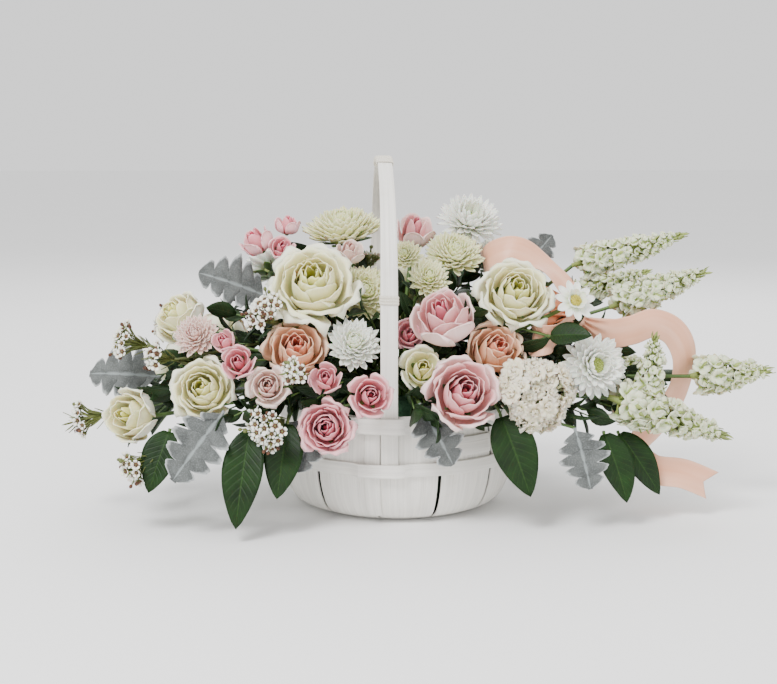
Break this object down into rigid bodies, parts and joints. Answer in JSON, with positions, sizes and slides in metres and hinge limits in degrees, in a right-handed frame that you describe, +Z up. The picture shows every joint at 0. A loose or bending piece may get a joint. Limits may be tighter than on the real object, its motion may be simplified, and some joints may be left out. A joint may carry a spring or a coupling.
{
  "type": "flower basket arrangement",
  "caption": "Round white splint basket with a hoop handle, filled with roses, mums, flower spikes, silver and dark leaves and a peach ribbon bow.",
  "frame": {"origin": "centre of the basket's flat underside, on the surface it stands on", "axes": "+Z up, -Y the front as seen in the picture, +X to the viewer's right, along the arrangement's length; the handle runs from front to back, along Y"},
  "size_m": [0.6566, 0.316, 0.3306],
  "materials": {
    "blush": "fresh blush petals",
    "cream": "fresh ivory rose petals with yellow-green hearts",
    "foam": "wet floral foam, green and matt",
    "green_cream": "fresh green-cream chrysanthemum petals",
    "leaf": "smooth dark green leaves, slightly glossy",
    "liner": "dark green moulded liner",
    "peach": "fresh peach rose petals",
    "pink": "fresh pink rose petals",
    "reed": "flat reed painted white",
    "ribbon": "peach satin ribbon",
    "rose_pink": "fresh deep pink spray rose petals",
    "silver": "felted silver-grey leaves",
    "spike": "greenish white florets with yellow-green bracts",
    "wax": "small waxy cup flowers on olive twigs",
    "white": "fresh white petals",
    "whitewash": "thin split wood painted warm white, worn matt"
  },
  "bodies": {
    "root": {"foam": "foam", "basket_splints": "whitewash", "basket_slat_front": "whitewash", "basket_band": "whitewash", "basket_weaver": "whitewash", "basket_rim_outer": "whitewash", "basket_rim_inner": "whitewash", "handle": "whitewash", "handle_binding_front": "reed", "handle_binding_back": "reed", "handle_grip_wrap": "reed", "liner": "liner", "rose_cream_far_left": "cream", "rose_white_upper_left": "cream", "rose_cream_left": "cream", "rose_cream_open": "cream", "rose_peach_left": "peach", "rose_pink_upper": "pink", "rose_pink_front": "pink", "rose_peach_right": "peach", "rose_cream_small": "cream", "rose_cream_right": "cream", "rose_pink_top": "pink", "rose_dusty_top": "blush", "spray_roses_front": "rose_pink", "spray_roses_left": "rose_pink", "spray_rose_middle": "rose_pink", "spray_rose_white": "blush", "spray_buds_top": "rose_pink", "carnation_blush": "blush", "mum_green_top": "green_cream", "mum_cream_middle": "green_cream", "mum_white_low": "white", "mum_spider_top": "white", "mum_cluster_green": "green_cream", "mum_white_right": "white", "daisy_right": "white", "stock_white": "white", "roses_cream_back_left": "cream", "roses_pink_back": "pink", "roses_cream_back": "cream", "roses_peach_back": "peach", "mum_white_back_left": "white", "mums_green_back": "green_cream", "mum_white_back_right": "white", "spray_roses_back": "rose_pink", "flower_spikes_upper": "spike", "flower_spikes_lower": "spike", "flower_spikes_back": "spike", "dusty_miller_left": "silver", "dusty_miller_front": "silver", "dusty_miller_right": "silver", "dusty_miller_back": "silver", "broad_leaves_left": "leaf", "broad_leaves_right": "leaf", "broad_leaves_back": "leaf", "wax_flower_left": "wax", "wax_flower_front": "wax", "wax_flower_back": "wax", "ribbon_bow": "ribbon"}
  },
  "joints": []
}
